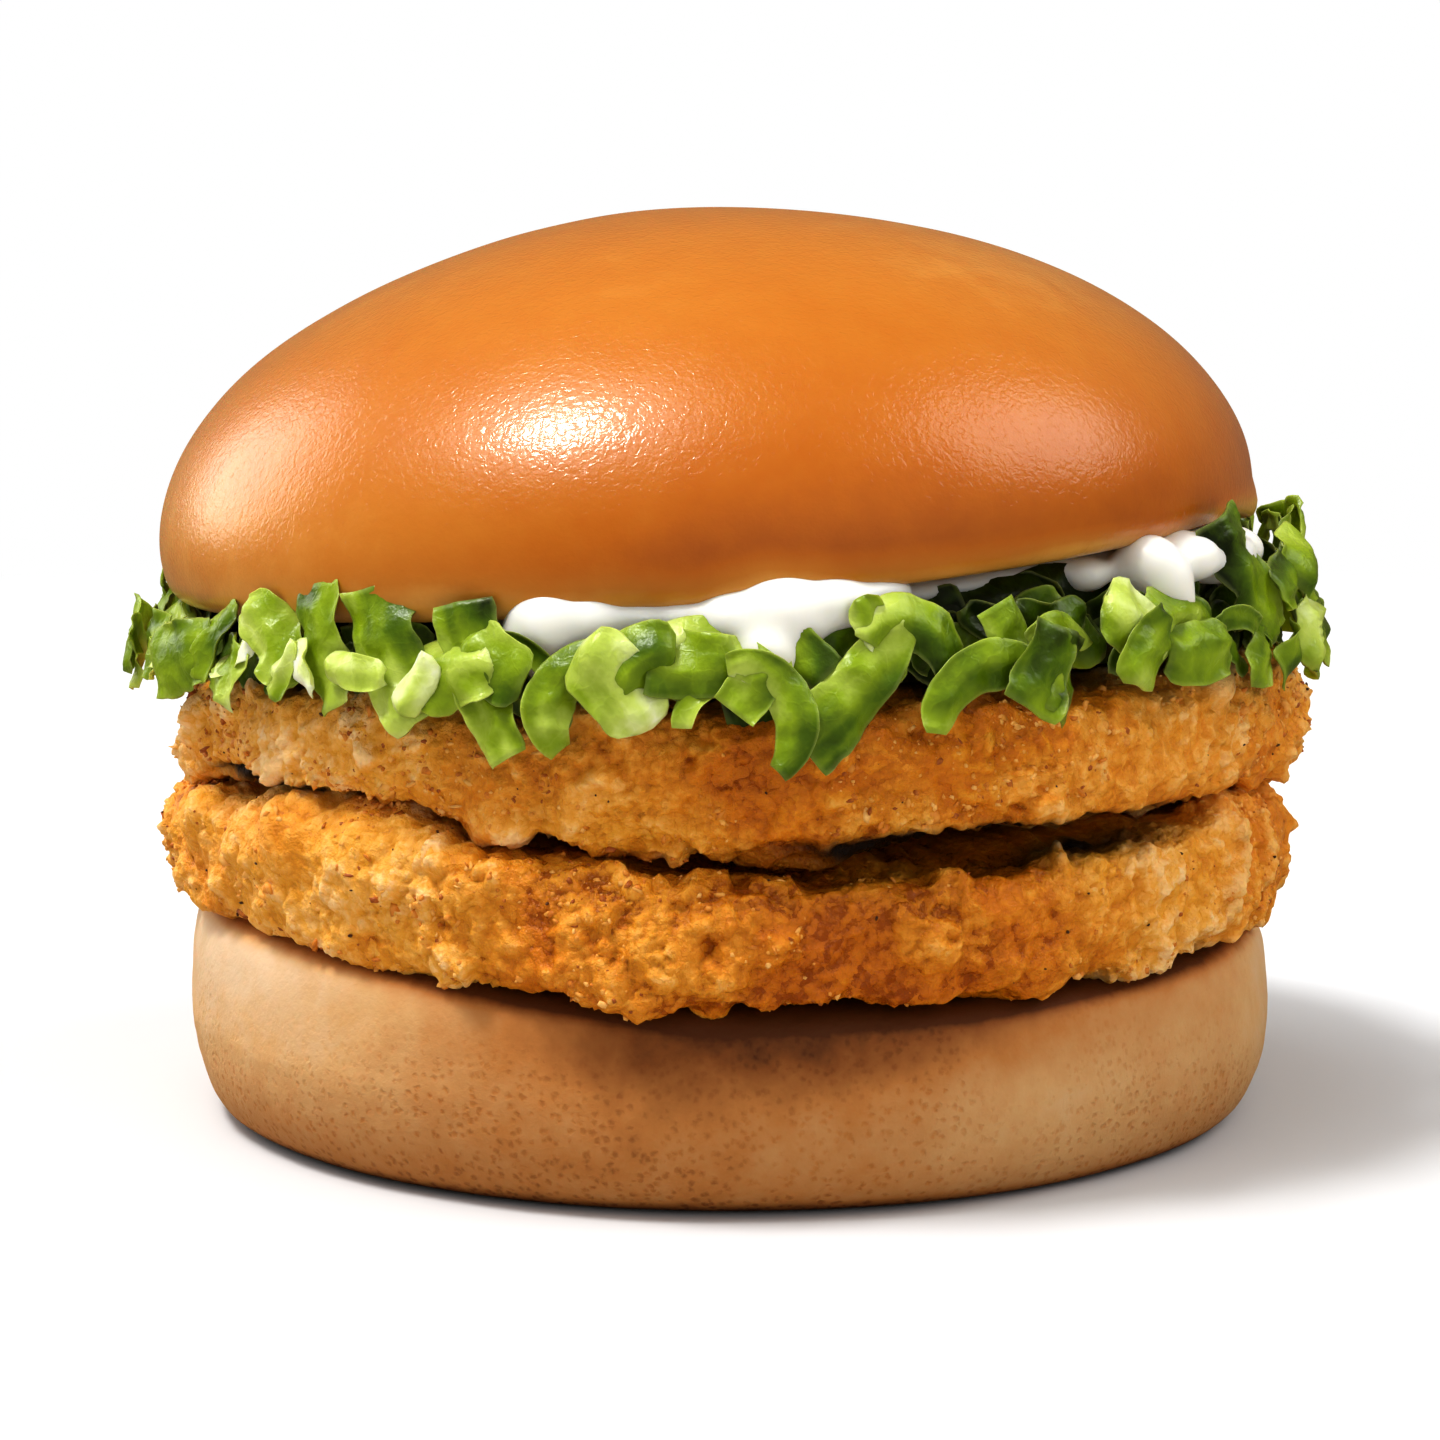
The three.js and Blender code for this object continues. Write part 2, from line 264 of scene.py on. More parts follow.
# A painted shadow line runs along the heel just below where the lower patty lies on it.
lowest = skin("patty_lower", 45, LEVELS["patty_lower"], rows=(4, 60), columns=400)
lowest = lowest[np.hypot(lowest[..., 0], lowest[..., 1]).min(axis=1) > 44][:, :, 2].min(axis=0)
tan_and_painted_shade += 0.7 * np.exp(-(((lowest - 0.6 - height) / 1.0) ** 2))
porous = np.clip(1.3 - height / 13 + 0.5 * cloud(heel, 7, 5), 0, 1)
layer_piece("heel_crust", heel, pale_crust, "pale_crust", "heel", browned=tan_and_painted_shade, porous=porous)

# ---- The two chicken patties ----
# Pressed chicken in a seasoned batter and crumb, fried until it is golden brown. The coating puffs into
# pebbles and flaky ridges: pale gold where they stand up, deep orange in the hollows between them.


def pebbles(points, size, seed):
    """Rounded lumps packed side by side: how high each point is on its lump, and the lump's own value."""
    random = np.random.default_rng(seed)
    middles = random.uniform(0.1, 0.9, (LATTICE, LATTICE, LATTICE, 3))
    values = random.uniform(0, 1, (LATTICE,) * 3)
    at = points / size + AFAR
    cell = np.floor(at).astype(int)
    nearest = np.full(points.shape[:-1], 9.0)
    second = nearest.copy()
    value = np.zeros_like(nearest)
    for step in itertools.product((-1, 0, 1), repeat=3):
        i, j, k = np.moveaxis((cell + step) % LATTICE, -1, 0)
        away = np.linalg.norm(cell + step + middles[i, j, k] - at, axis=-1)
        closer = away < nearest
        second = np.where(closer, nearest, np.minimum(second, away))
        value = np.where(closer, values[i, j, k], value)
        nearest = np.where(closer, away, nearest)
    return np.clip((second - nearest) * 1.6, 0, 1) ** 0.6, value


def ridges(points, size, seed):
    """Thin raised folds that wander over the surface, from 0 between them to 1 on their crests."""
    return np.clip(1 - 2.2 * abs(cloud(points, size, seed)), 0, 1) ** 1.5


# Fried breading: wheat crumb in hot oil turns golden and a little clear, so light soaks in and comes back
# orange. Each crumb has browned by its own amount, and the cracks between crumbs are darker and oilier.
breading = finish("fried_breading")
place = add(breading, "TexCoord").outputs["Object"]
relief_and_painted_light = add(breading, "Attribute", {"attribute_name": "relief_and_painted_light"}).outputs["Fac"]
fry_and_painted_light = add(breading, "Attribute", {"attribute_name": "fry_and_painted_light"}).outputs["Fac"]
stir = noise(breading, place, 0.8, 3, 0.6)
bent = jostled(breading, place, stir, 0.9)
large = add(breading, "TexVoronoi", {"Scale": 1 / (1.25 * MM)}, Vector=bent)
small = add(breading, "TexVoronoi", {"Scale": 1 / (0.6 * MM)}, Vector=bent)
large_own = add(breading, "SeparateColor", i0=large.outputs["Color"]).outputs[0]
small_own = add(breading, "SeparateColor", i0=small.outputs["Color"]).outputs[0]
cracks = times_plus(breading, small.outputs["Distance"], 0.5, large.outputs["Distance"])
crumb = times_plus(breading, cracks.outputs[0], -0.55, stir.outputs["Fac"])
own = times_plus(breading, small_own, 0.6, large_own)
tint = times_plus(breading, own.outputs[0], 0.3, -0.17)
sunk = times_plus(breading, crumb.outputs[0], 0.45, tint.outputs[0])
stand = add(breading, "Math", {"operation": "ADD"}, i0=relief_and_painted_light, i1=sunk.outputs[0])
golden = ramp(
    breading,
    stand.outputs[0],
    [(0.0, "#A85C08"), (0.2, "#D68C1C"), (0.45, "#E9A42C"), (0.7, "#F2B654"), (1.0, "#F9CE90")],
)
deep = ramp(
    breading,
    stand.outputs[0],
    [(0.0, "#A04E00"), (0.2, "#C87000"), (0.45, "#D88000"), (0.7, "#E69612"), (1.0, "#F0B244")],
)
crisp = add(breading, "Mix", {"data_type": "RGBA"}, i0=fry_and_painted_light, i6=golden, i7=deep)
# Painted shade: inside the gap between the patties the coating is painted near black.
painted_gap_shade = add(breading, "Attribute", {"attribute_name": "painted_gap_shade"}).outputs["Fac"]
dark = add(breading, "Mix", {"data_type": "RGBA", 7: linear("#1A0B03")}, i0=painted_gap_shade, i6=crisp.outputs[2])
fine = noise(breading, bent, 0.3, 3, 0.6)
rough = times_plus(breading, fine.outputs["Fac"], 0.5, crumb.outputs[0])
bump = add(breading, "Bump", {"Strength": 0.8, "Distance": 0.45 * MM}, Height=rough.outputs[0])
oily = add(
    breading,
    "MapRange",
    {"From Min": 0.0, "From Max": 0.5, "To Min": 0.24, "To Max": 0.48},
    Value=stand.outputs[0],
)
coat = add(
    breading,
    "BsdfPrincipled",
    {
        "IOR": 1.45,
        "Specular IOR Level": 0.45,
        "Subsurface Weight": 0.2,
        "Subsurface Radius": (1.0, 0.45, 0.12),
        "Subsurface Scale": 1.0 * MM,
    },
    Base_Color=dark.outputs[2],
    Roughness=oily.outputs[0],
    Normal=bump.outputs[0],
)
shaded_by(breading, coat)


# Knobs of batter on the lower patty's edge, and a pit between two of them: the bearing and height of the
# middle, the size and how far it rises.
KNOBS = [(-68, 30.6, 2.6, 1.7), (-49, 31.2, 3.4, 1.3), (-38, 30.2, 3.0, 0.9), (-59, 30.6, 1.0, -2.2)]


def breaded(node, level, seed):
    """A patty's rings with its coating lifted, its paleness and fry with painted light, and its gap's painted
    shade.
    """
    rings = eased(skin(node, 45, level, rows=(4, 92), columns=900), 8)
    side = outward(rings)
    turn = np.degrees(np.arctan2(rings[..., 0], -rings[..., 1]))
    out = np.hypot(rings[..., 0], rings[..., 1])
    on_left = np.exp(-(((turn + 50) / 30) ** 2))
    in_front = np.exp(-(((turn - 5) / 30) ** 2))
    on_right = np.exp(-(((turn - 50) / 25) ** 2))
    twisted = rings + 0.5 * np.stack([cloud(rings, 1.3, seed + n) for n in (1, 2, 3)], -1)
    gathered = np.clip(0.5 + 0.9 * cloud(rings, 7, seed + 4) + 0.7 * cloud(rings, 2.8, seed + 5), 0, 1)
    clump, clump_value = pebbles(twisted, 3.0, seed + 6)
    crumb, crumb_value = pebbles(twisted, 1.5, seed + 7)
    grit, grit_value = pebbles(twisted, 0.8, seed + 8)
    crumb = crumb**0.5 * crumb_value
    grit = grit**0.5 * grit_value
    clump = clump * np.clip(clump_value * 2 - 0.7, 0, 1)
    flakes = np.clip(3.5 * cloud(twisted, 3.2, seed + 9), 0, 1)
    flakes += 0.6 * np.clip(4 * cloud(twisted, 1.7, seed + 15), 0, 1)
    slow = 0.7 * cloud(rings, 12, seed + 10) + 0.5 * cloud(rings, 5, seed + 11)
    hollow = np.clip(-0.25 - cloud(rings, 2.4, seed + 12), 0, 1)
    quick = 0.7 * clump + 0.45 * crumb + 0.5 * grit + 0.85 * flakes
    lift = slow + (0.35 + 0.65 * gathered) * quick - 0.8 * hollow - 0.75
    hanging = np.clip(1.3 * cloud(twisted, 4.5, seed + 16), 0, 1)
    lift += 1.1 * np.clip(-side[..., 2], 0, 1) * hanging * (out > 46)
    # The patties curl apart in two places at the front, and the gap's coating is painted dark as shade.
    parted = 0
    for middle, spread, seam, gape in ((28, 19, 31.2, 1.6), (-57, 9, 33.6, 0.9)):
        parted = parted + np.exp(-(((rings[..., 2] - seam) / gape) ** 2) - ((turn - middle) / spread) ** 2)
    parted = parted * np.clip((out - 43) / 3, 0, 1)
    lift -= 2.2 * parted
    if node == "patty_lower":
        lift += 1.0 * on_left * np.clip((rings[..., 2] - 24) / 4, 0, 1)
        for middle, height, size, rise in KNOBS:
            away = np.linalg.norm(rings - on_ring(middle, 52, height), axis=-1)
            lift += rise * np.exp(-((away / size) ** 2))
    # Painted light: the coating is painted paler and less deep fried on its left and right; it is deeper
    # orange at the front.
    pale = 0.1 + (0.35 + 0.65 * gathered) * (0.22 * clump + 0.2 * crumb + 0.2 * grit + 0.22 * flakes + 0.05)
    pale = pale - 0.35 * hollow + 0.12 * cloud(rings, 4, seed + 13) + 0.26 * on_left
    pale += 0.2 * on_right - 0.4 * parted - (0.23 if node == "patty_lower" else 0.03) * in_front
    fry_and_painted_light = 0.55 + 0.25 * in_front - 0.5 * on_left - 0.2 * on_right
    fry_and_painted_light = np.clip(fry_and_painted_light + 0.7 * cloud(rings, 9, seed + 14) - 0.4 * (gathered - 0.5), 0, 1)
    return rings + side * lift[..., None], np.clip(pale, 0, 1), fry_and_painted_light, np.clip(2.8 * parted - 0.1, 0, 1)


def scattered(spots, normals, sizes, flat, sunk, random):
    """Small broken lumps of 20 faces, one for each spot, flattened, turned at random and partly sunk in."""
    golden_ratio = (1 + 5**0.5) / 2
    pairs = np.array([(a, b * golden_ratio) for a in (-1, 1) for b in (-1, 1)])
    planes = ((pairs, 0), (pairs, 2), (pairs[:, ::-1], 1))
    corners = np.concatenate([np.insert(plane, missing, 0, axis=1) for plane, missing in planes])
    corners = corners / np.linalg.norm(corners[0])
    apart = np.linalg.norm(corners[:, None] - corners, axis=-1)
    near = (apart > 0) & (apart < 1.2)
    triples = itertools.combinations(range(12), 3)
    faces = [f for f in triples if all(near[pair] for pair in itertools.combinations(f, 2))]
    faces = [f if np.linalg.det(corners[list(f)]) > 0 else f[::-1] for f in faces]
    count = len(spots)
    shape = corners * (1 + random.uniform(-0.3, 0.3, (count, 12, 1)))
    shape = shape * random.uniform(0.6, 1.3, (count, 1, 3)) * np.array([1, 1, flat])
    turn, _ = np.linalg.qr(random.normal(size=(count, 3, 3)))
    turn[np.linalg.det(turn) < 0] *= -1
    placed = np.einsum("nij,nkj->nki", turn, shape) * sizes[:, None, None]
    placed += (spots - normals * (sizes * sunk)[:, None])[:, None]
    joined = (np.array(faces)[None] + 12 * np.arange(count)[:, None, None]).reshape(-1, 3)
    return placed.reshape(-1, 3), joined.tolist()


random = np.random.default_rng(11)
SIDE_ROWS = slice(14, 86)  # the rings that show, round a patty's edge
crumb_spots = []
crumb_normals = []
for seed, (node, level) in zip((100, 200), LEVELS.items()):
    rings, pale, fry_and_painted_light, painted_gap_shade = breaded(node, level, seed)
    painted = {"relief_and_painted_light": pale, "fry_and_painted_light": fry_and_painted_light, "painted_gap_shade": painted_gap_shade}
    layer_piece(node + "_breading", rings, breading, "breading", node, **painted)
    clear_of_painted_shade = painted_gap_shade[SIDE_ROWS] < 0.1
    crumb_spots.append(rings[SIDE_ROWS][clear_of_painted_shade])
    crumb_normals.append(outward(rings)[SIDE_ROWS][clear_of_painted_shade])
crumb_spots = np.concatenate(crumb_spots)
crumb_normals = np.concatenate(crumb_normals)

# Loose crumbs and flakes of batter that fried on to the coating, in drifts. They are dry, so they shine
# less than the coating, and some are hardly browned.
loose = finish("dry_breadcrumb")
grain = noise(loose, add(loose, "TexCoord").outputs["Object"], 0.4, 3)
own = add(loose, "Attribute", {"attribute_name": "toasted"}).outputs["Fac"]
tone = times_plus(loose, grain.outputs["Fac"], 0.5, -0.25)
toasted = add(loose, "Math", {"operation": "ADD"}, i0=own, i1=tone.outputs[0])
toast = ramp(
    loose, toasted.outputs[0], [(0.0, "#F2C67C"), (0.4, "#E8A848"), (0.8, "#D4821C"), (1.0, "#A0500A")]
)
bump = add(loose, "Bump", {"Strength": 0.6, "Distance": 0.15 * MM}, Height=grain.outputs["Fac"])
shaded_by(loose, add(loose, "BsdfPrincipled", {"Roughness": 0.5}, Base_Color=toast, Normal=bump.outputs[0]))
FLAKES, CRUMBS, SPECKS = 900, 4500, 150
drift = cloud(crumb_spots, 7, 13) + 0.8 * cloud(crumb_spots, 2.8, 14)
drift += 0.4 * random.uniform(-1, 1, len(crumb_spots))
chosen = random.permutation(np.argsort(-drift)[: len(drift) // 3])
few, many = np.split(chosen[: FLAKES + CRUMBS], [FLAKES])
flakes, flake_faces = scattered(
    crumb_spots[few], crumb_normals[few], random.uniform(0.3, 0.7, len(few)), 0.4, 0.25, random
)
crumbs, crumb_faces = scattered(
    crumb_spots[many], crumb_normals[many], random.uniform(0.12, 0.36, len(many)), 0.8, 0.4, random
)
points = np.concatenate([flakes, crumbs])
faces = flake_faces + [[c + len(flakes) for c in face] for face in crumb_faces]
tints = np.repeat(random.uniform(0.2, 1.0, len(points) // 12), 12)
piece("breading_crumbs", points, faces, loose, "breading", toasted=tints)

# Cracked black pepper from the seasoning: hard, almost black specks that show here and there.
pepper = finish("cracked_pepper")
speck = noise(pepper, add(pepper, "TexCoord").outputs["Object"], 0.2)
husk = ramp(pepper, speck.outputs["Fac"], [(0.3, "#2A170A"), (0.7, "#6E401A")])
shaded_by(pepper, add(pepper, "BsdfPrincipled", {"Roughness": 0.6}, Base_Color=husk))
few = random.permutation(len(crumb_spots))[:SPECKS]
specks, speck_faces = scattered(
    crumb_spots[few], crumb_normals[few], 0.1 + 0.32 * random.random(len(few)) ** 3, 0.6, -0.3, random
)
piece("pepper_specks", specks, speck_faces, pepper, "breading")

# ---- The lettuce ----
# Iceberg lettuce sliced into shreds 2 to 7 mm wide: thin, crisp and curled, lime to mid green, with pale
# cut edges and white ribs. The heap spills past the patty all round. Its middle, which is shut in between
# the patty and the crown, is one crumpled core, painted near black green as painted shade.
leaf = finish("iceberg_leaf")
place = add(leaf, "TexCoord").outputs["Object"]
tone = add(leaf, "Attribute", {"attribute_name": "tone"}).outputs["Fac"]
cut = add(leaf, "Attribute", {"attribute_name": "cut"}).outputs["Fac"]
blotch = noise(leaf, place, 3.0, 3, 0.55)
uneven = times_plus(leaf, blotch.outputs["Fac"], 0.44, -0.22)
shade = add(leaf, "Math", {"operation": "ADD"}, i0=tone, i1=uneven.outputs[0])
bend = noise(leaf, place, 2.2, 2)
bent = jostled(leaf, place, bend, 2.6)
web = add(leaf, "TexVoronoi", {"feature": "DISTANCE_TO_EDGE", "Scale": 1 / (2.4 * MM)}, Vector=bent)
vein = add(
    leaf,
    "MapRange",
    {"interpolation_type": "SMOOTHSTEP", "From Min": 0.0, "From Max": 0.09, "To Min": 0.02, "To Max": 0.0},
    Value=web.outputs["Distance"],
)
veined = add(leaf, "Math", {"operation": "ADD"}, i0=shade.outputs[0], i1=vein.outputs[0])
green = ramp(
    leaf,
    veined.outputs[0],
    [
        (0.0, "#182700"),
        (0.25, "#516C04"),
        (0.5, "#8AA016"),
        (0.72, "#B9C85C"),
        (0.9, "#DAE2A2"),
        (1.0, "#EEF0D2"),
    ],
)
edged = add(leaf, "Mix", {"data_type": "RGBA", 7: linear("#BECB72")}, i0=cut, i6=green)
crease = noise(leaf, place, 1.3, 3)
swollen = times_plus(leaf, vein.outputs[0], 4.0, crease.outputs["Fac"])
bump = add(leaf, "Bump", {"Strength": 0.6, "Distance": 0.35 * MM}, Height=swollen.outputs[0])
blade = add(
    leaf,
    "BsdfPrincipled",
    {
        "Roughness": 0.34,
        "IOR": 1.4,
        "Subsurface Weight": 0.3,
        "Subsurface Radius": (1.0, 0.95, 0.2),
        "Subsurface Scale": 0.6 * MM,
    },
    Base_Color=edged.outputs[2],
    Normal=bump.outputs[0],
)
shaded_by(leaf, blade)


def surface_at(node, bearing, out, upwards):
    """Height in mm at which a packed layer is met from far above it, or from below it."""
    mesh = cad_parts[node].data
    if node not in surface_at.trees:
        faces = [p.vertices for p in mesh.polygons]
        surface_at.trees[node] = BVHTree.FromPolygons([v.co for v in mesh.vertices], faces)
    begin = Vector(on_ring(bearing, out, -10.0 if upwards else 120.0)) * MM
    return surface_at.trees[node].ray_cast(begin, Vector((0, 0, 1 if upwards else -1)))[0].z / MM


surface_at.trees = {}


SLICE = 0.13  # half the thickness of a shred, mm
ACROSS = np.array([0, 0.02, 0.08, 0.16, 0.25, 0.34, 0.42, 0.5, 0.58, 0.66, 0.75, 0.84, 0.92, 0.98, 1])


def shred(place, size, way, face, curl, rounded, tones, seed):
    """One cut ribbon of leaf: its points, its faces, its tone and how near each point is to a cut.

    place is the bearing, distance out and height of its middle. size is its length, its width, how much wider
    its far end is than its near end, and how much slimmer both ends are than the middle. way is the slope of
    its middle, 0 for rightwards and 90 for up, and how far it turns from end to end. face is how far it looks
    away from straight outwards, and how far it leans back.
    """
    bearing, out, height = place
    length, width, wider, slimmer = size
    facing, lean = np.radians(face)
    stations = int(np.clip(length * 2.2, 8, 30))
    share = np.linspace(0, 1, stations)
    heading = np.radians(way[0] + way[1] * (share - 0.5))
    step = length / (stations - 1)
    right = np.append(0, np.cumsum(np.cos((heading[1:] + heading[:-1]) / 2))) * step
    up = np.append(0, np.cumsum(np.sin((heading[1:] + heading[:-1]) / 2))) * step
    right -= np.interp(0.5, share, right)
    up -= np.interp(0.5, share, up)
    from_tip = np.clip(np.minimum(share, 1 - share) / 0.22, 0, 1)
    half = width / 2 * (1 + wider * (share - 0.5)) * (1 - slimmer * (2 * share - 1) ** 2)
    half *= 1 - 0.94 * rounded * (1 - np.sqrt(1 - (1 - from_tip) ** 2))
    along = np.stack([share * length + 50, 0 * share, 0 * share], -1)
    ragged = 1 + 0.13 * cloud(along, 2.4, seed + 2) + 0.07 * cloud(along, 0.9, seed + 5)
    aside = (1 - 2 * ACROSS)[:, None] * half * ragged
    u = right - np.sin(heading) * aside
    v = up + np.cos(heading) * aside
    turn = np.radians(bearing) + facing
    beside = np.array([np.cos(turn), np.sin(turn), 0])
    ahead = np.array([np.sin(turn), -np.cos(turn), 0])
    inward = v * np.tan(lean) + u**2 / (2 * out)
    sheet = on_ring(bearing, out, height) + u[..., None] * beside - inward[..., None] * ahead
    sheet[..., 2] += v
    normal = np.cross(sheet[-1] - sheet[0], np.gradient(sheet, axis=1))
    normal /= np.linalg.norm(normal, axis=-1, keepdims=True).clip(1e-6)
    t = ACROSS[:, None]
    bowed = 0.5 - 0.5 * np.cos(2 * np.pi * t)
    rolled = t**2 if seed % 4 else (1 - t) ** 2
    camber = curl * (0.55 * bowed + 0.45 * rolled) * half / 3.2
    buckled = 0.8 * cloud(sheet, 3.2, seed) + 0.35 * cloud(sheet, 1.5, seed + 1)
    buckled *= 0.5 + 1.3 * abs(2 * t - 1) ** 3
    ribs = 0.45 * ridges(sheet, 2.8, seed + 3)
    sheet = sheet + normal * (camber + (buckled + ribs) * min(1, width / 2.5))[..., None]
    thick = SLICE * np.sqrt(1 - np.abs(2 * t - 1) ** 6)[..., None]
    loop = np.concatenate([sheet + normal * thick, (sheet - normal * thick)[-2:0:-1]])
    loop = np.moveaxis(loop, 0, 1)
    sides = loop.shape[1]
    here = np.arange(stations * sides).reshape(stations, sides)
    next_to = np.roll(here, -1, axis=1)
    quads = np.stack([here[:-1], next_to[:-1], next_to[1:], here[1:]], -1).reshape(-1, 4)
    faces = quads.tolist() + [here[0][::-1].tolist(), here[-1].tolist()]
    across = np.concatenate([ACROSS, ACROSS[-2:0:-1]])
    lengthwise = tones[0] + (tones[1] - tones[0]) * share[:, None]
    tone = lengthwise + 0.16 * np.sin(seed) * (2 * across - 1) + 0.16 * cloud(loop, 3.2, seed + 4)
    sideways = (1 - 2 * across)[None, :] * half[:, None]
    lengths = 0.16 * length * share[:, None] + 0 * sideways
    tone += 0.13 * cloud(np.stack([lengths, sideways, 0 * lengths], -1), 0.85, seed + 6)
    from_side = (1 - np.abs(2 * across - 1))[None, :] * half[:, None]
    from_end = np.minimum(share, 1 - share)[:, None] * length
    near = 0.7 * np.clip(1 - np.minimum(from_side, from_end + 0.1) / 0.22, 0, 1)
    return loop.reshape(-1, 3), faces, np.clip(tone, 0, 1).ravel(), near.ravel()


# The kinds of shred that a sliced head of iceberg falls into: length, width, how much wider the far end is,
# how much slimmer the ends are, how far the ribbon turns in its length, how far it curls out, how rounded its
# ends are, and its tone at the two ends, from 0 for dark green to 1 for white rib.
KINDS = [
    (8, 6, -0.2, 0, -30, 2.5, 0.8, (0.6, 0.8)),  # cupped leaf
    (7, 5, 0, 0, 20, 1.8, 0.5, (0.5, 0.4)),  # lobe
    (8, 5, -0.2, 0, -70, 2.2, 0.6, (0.65, 0.4)),  # curled leaf
    (12, 4, 0, 0.4, -150, 1.5, 0.2, (0.7, 0.4)),  # arch
    (8, 6, -0.2, 0, 5, 1.8, 0.1, (0.55, 0.4)),  # flat fold
    (12, 5, -0.5, 0, 20, 1.2, 0.1, (0.4, 0.65)),  # long leaf
    (9, 2, 0, 0, -120, 0.5, 0.2, (0.5, 0.55)),  # loop
    (6, 3, 0, 0.1, 10, 1.4, 0.6, (0.7, 0.95)),  # piece of rib
    (6, 4, 0, 0, 0, 0.9, 0, (0.6, 0.5)),  # short square shred
]


def bed(bearing):
    """Height of the upper patty's top under the heap, 48 mm out."""
    return surface_at("patty_upper", bearing, 48, upwards=False)


def ceiling(bearing):
    """Height of the crown's cut face over the heap, 46 mm out."""
    return surface_at("crown", bearing, 46, upwards=True)


def heaped(name, shreds, seed, **stands_for):
    """All the shreds of one heap as one piece."""
    made = [shred(*one, seed=seed + 2 * n) for n, one in enumerate(shreds)]
    before = np.cumsum([0] + [len(points) for points, _, _, _ in made])
    faces = [[int(corner + start) for corner in face] for start, one in zip(before, made) for face in one[1]]
    points, tones, cuts = (np.concatenate([one[part] for one in made]) for part in (0, 2, 3))
    piece(name, points, faces, leaf, "lettuce", tone=tones, cut=0.5 * cuts, **stands_for)


random = np.random.default_rng(7)
# The outer row: two shreds at each bearing, one low and one higher, each of any kind and on any slope.
outer = []
for bearing, low in itertools.product(np.arange(0, 360, 6.4), (True, False)):
    length, width, widening, slimming, turn, curl, rounded, tones = KINDS[random.choice(len(KINDS))]
    bearing += random.uniform(-2.5, 2.5)
    room = ceiling(bearing) - bed(bearing)
    height = bed(bearing) + room * (random.uniform(0.12, 0.38) if low else random.uniform(0.4, 0.72))
    size = (length * random.uniform(0.9, 1.15), width * random.uniform(0.9, 1.2), widening, slimming)
    way = (random.uniform(-70, 70), turn * random.uniform(0.7, 1.2))
    # Painted shade: the shreds at the front right are painted darker.
    at_front_right = abs(bearing - 32) < 58
    painted_shade = 0.12 if at_front_right else 0  # painted darker, as painted shade
    tones = tuple(np.add(tones, random.uniform(-0.14, 0.08) - painted_shade))
    at = (bearing, random.uniform(53.4, 55.4) if low else random.uniform(52, 54), height)
    outer.append((at, size, way, (random.uniform(-12, 12), 12), curl, rounded, tones))
# Close behind them lies a second row, mostly in shade, its tone painted dark as painted shade.
inner = []
for bearing in np.arange(0, 360, 3.6):
    room = ceiling(bearing) - bed(bearing)
    aside = bearing + random.uniform(-2, 2)
    at = (aside, random.uniform(49, 51), bed(bearing) + room * random.uniform(0.15, 0.6))
    size = (random.uniform(6, 9), random.uniform(3, 5), random.uniform(-0.4, 0.4), 0.2)
    way = (random.uniform(-40, 40), random.uniform(-90, 90))
    tone = random.uniform(0, 0.14)
    face = (random.uniform(-25, 25), 5)
    inner.append((at, size, way, face, random.uniform(-1.5, 2), 0.4, (tone, tone + 0.15)))
# Deeper in the gap, shorter shreds stand every way, painted darker still as painted shade.
for bearing in np.arange(0, 360, 4.8):
    room = ceiling(bearing) - bed(bearing)
    aside = bearing + random.uniform(-2, 2)
    at = (aside, random.uniform(45, 48), bed(bearing) + room * random.uniform(0.3, 0.7))
    size = (random.uniform(5, 8), random.uniform(2.5, 4.5), 0, 0.2)
    way = (random.uniform(-50, 50), random.uniform(-90, 90))
    tone = random.uniform(0, 0.1)
    face = (random.uniform(-20, 20), 0)
    inner.append((at, size, way, face, random.uniform(-1, 1), 0.3, (tone, tone + 0.05)))
heaped("lettuce_shreds", outer, 500, stands_for=["lettuce"])
heaped("lettuce_shreds_inside", inner, 1100)

bearing = np.arange(0, 360, 2.0)
beds = np.array([bed(b) for b in bearing])
ceilings = np.array([ceiling(b) for b in bearing])
share = np.array([0.06, 0.06, 0.06, 0.1, 0.3, 0.5, 0.7, 0.9, 0.94, 0.94, 0.94])[:, None]
reach = np.array([5, 20, 40, 45.5, 46.5, 46.5, 46.5, 45.5, 40, 20, 5])[:, None]
core = on_ring(bearing, reach + 0 * bearing, beds + share * (ceilings - beds))
core += outward(core) * (0.8 * cloud(core, 3.5, 61))[..., None]
plain = np.zeros(core.shape[:2])
# The core is painted almost black green: painted shade.
layer_piece("lettuce_core", core, leaf, "lettuce", "lettuce", tone=plain + 0.03, cut=plain)

# ---- The mayonnaise ----
# A thick white emulsion of egg and oil, squeezed on to the crown's cut face. The crown presses it flat, and
# where it has spread past the rim it swells into rounded folds and hangs in drips over the lettuce.
mayonnaise = finish("thick_mayonnaise")
place = add(mayonnaise, "TexCoord").outputs["Object"]
drag = noise(mayonnaise, place, 5.0, 2, 0.4)
bump = add(mayonnaise, "Bump", {"Strength": 0.12, "Distance": 0.5 * MM}, Height=drag.outputs["Fac"])
painted_warm_shade = add(mayonnaise, "Attribute", {"attribute_name": "painted_warm_shade"}).outputs["Fac"]
# Where it hangs below the crown the cream is painted a darker beige: painted shade, warm from the food below.
cream = ramp(mayonnaise, painted_warm_shade, [(0.0, "#ECEAE2"), (0.45, "#EAE6DB"), (1.0, "#E2D4B0")])
emulsion = add(
    mayonnaise,
    "BsdfPrincipled",
    {
        "Roughness": 0.3,
        "IOR": 1.46,
        "Subsurface Weight": 0.45,
        "Subsurface Radius": (1.0, 0.85, 0.6),
        "Subsurface Scale": 2.0 * MM,
    },
    Base_Color=cream,
    Normal=bump.outputs[0],
)
shaded_by(mayonnaise, emulsion)

